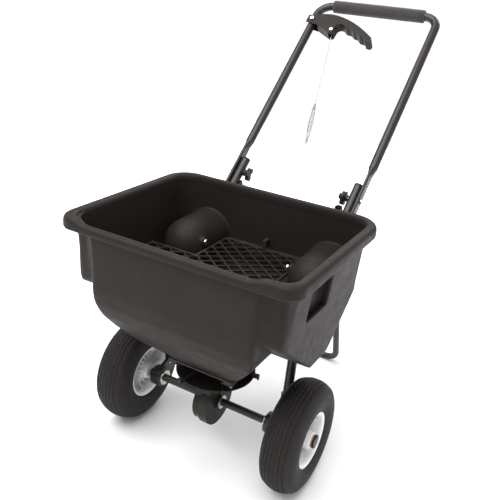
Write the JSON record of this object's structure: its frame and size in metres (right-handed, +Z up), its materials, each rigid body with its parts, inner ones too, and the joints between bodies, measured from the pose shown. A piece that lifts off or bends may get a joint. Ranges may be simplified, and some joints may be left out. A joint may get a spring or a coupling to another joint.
{
  "type": "push broadcast spreader",
  "caption": "Push broadcast spreader with a deep hopper, tube frame, pneumatic wheels, geared spinner and a lever-operated shutter.",
  "frame": {"origin": "middle of the footprint on the floor", "axes": "+X to the user's right-hand wheel side when facing the hopper front, +Y from the hopper towards the handle, +Z up"},
  "size_m": [0.532, 0.969, 0.984],
  "materials": {
    "black_hopper": "moulded black polypropylene with a fine satin grain",
    "black_plastic": "moulded black plastic",
    "gearbox_plastic": "moulded greenish-black plastic",
    "frame_paint": "satin black powder coat",
    "white_wheel": "moulded white plastic",
    "tyre_rubber": "black tyre rubber",
    "foam": "closed-cell foam",
    "zinc": "bright zinc plating",
    "bronze": "sintered bronze",
    "brass": "turned brass",
    "gear_plastic": "natural nylon"
  },
  "bodies": {
    "frame": {"axle_bearing_left": "bronze", "axle_bearing_right": "bronze", "axle_boss_left": "frame_paint", "axle_boss_right": "frame_paint", "axle_bushes": "bronze", "crank_bracket": "black_plastic", "crank_pin": "zinc", "foam_grip": "foam", "gearbox_left": "gearbox_plastic", "gearbox_right": "gearbox_plastic", "gearbox_screws": "zinc", "handle": "frame_paint", "handle_bolts": "zinc", "hopper": "black_hopper", "hopper_bolts": "zinc", "knob_bolts": "zinc", "lever_bolt": "zinc", "lower_tube_left": "frame_paint", "lower_tube_right": "frame_paint", "outlet_bush": "bronze", "outlet_plate": "black_plastic", "outlet_screws": "zinc", "sieve_clip": "black_plastic", "sieve_grid": "black_plastic", "sieve_pegs": "black_hopper", "spinner_bush": "bronze", "stand": "frame_paint", "tube_cap_left": "black_plastic", "tube_cap_right": "black_plastic"},
    "drive_axle": {"axle": "frame_paint", "drive_pin": "zinc", "crown_gear": "gear_plastic", "axle_spacers": "zinc", "axle_cap_left": "black_plastic", "axle_cap_right": "black_plastic", "wheel_rim_right": "white_wheel", "tyre_right": "tyre_rubber", "hub_bush_right": "bronze", "valve_stem_right": "brass"},
    "left_wheel": {"wheel_rim_left": "white_wheel", "tyre_left": "tyre_rubber", "hub_bush_left": "bronze", "valve_stem_left": "brass"},
    "spinner": {"spinner_shaft": "zinc", "spinner_disc": "black_plastic", "spinner_pin": "zinc", "drive_pinion": "gear_plastic", "agitator_wire": "zinc"},
    "shutter": {"shutter_gate": "zinc"},
    "crank_arm": {"crank": "zinc"},
    "hand_lever": {"lever": "black_plastic", "wire_pin": "zinc"},
    "control_wire": {"wire_upper": "zinc", "wire_spring": "zinc", "wire_lower": "zinc"},
    "left_knob": {"knob_left": "black_plastic"},
    "right_knob": {"knob_right": "black_plastic"}
  },
  "joints": [
    {"name": "axle_spin", "type": "hinge", "parent": "frame", "child": "drive_axle", "pos_m": [0, -0.2735, 0.127], "axis": [1, 0, 0], "continuous": true},
    {"name": "left_wheel_spin", "type": "hinge", "parent": "frame", "child": "left_wheel", "pos_m": [-0.219, -0.2735, 0.127], "axis": [1, 0, 0], "continuous": true},
    {"name": "spinner_spin", "type": "hinge", "parent": "frame", "child": "spinner", "pos_m": [0, -0.2735, 0.21], "axis": [0, 0, 1], "continuous": true},
    {"name": "lever_swing", "type": "hinge", "parent": "frame", "child": "hand_lever", "pos_m": [-0.169, 0.41972, 0.92279], "axis": [0, -0.6791, 0.734], "range_deg": [0, 20]},
    {"name": "wire_swing", "type": "hinge", "parent": "hand_lever", "child": "control_wire", "pos_m": [-0.099, 0.3977, 0.90242], "axis": [0, -0.6791, 0.734], "range_deg": [-21, 0.5]},
    {"name": "crank_turn", "type": "hinge", "parent": "frame", "child": "crank_arm", "pos_m": [0, -0.1235, 0.3], "axis": [1, 0, 0], "range_deg": [-0.5, 14.9]},
    {"name": "shutter_slide", "type": "slide", "parent": "frame", "child": "shutter", "axis": [0, 1, 0], "range_m": [-0.0005, 0.0147]},
    {"name": "knob_left_turn", "type": "hinge", "parent": "frame", "child": "left_knob", "pos_m": [-0.133, 0.0395, 0.571], "axis": [1, 0, 0], "range_deg": [-180, 180]},
    {"name": "knob_right_turn", "type": "hinge", "parent": "frame", "child": "right_knob", "pos_m": [0.133, 0.0395, 0.571], "axis": [1, 0, 0], "range_deg": [-180, 180]}
  ],
  "couplings": [
    {"joint": "spinner_spin", "follows": "axle_spin", "ratio": 4},
    {"joint": "wire_swing", "follows": "lever_swing", "ratio": -1.025},
    {"joint": "crank_turn", "follows": "lever_swing", "ratio": 0.72},
    {"joint": "shutter_slide", "follows": "lever_swing", "m_per_rad": 0.04061}
  ]
}
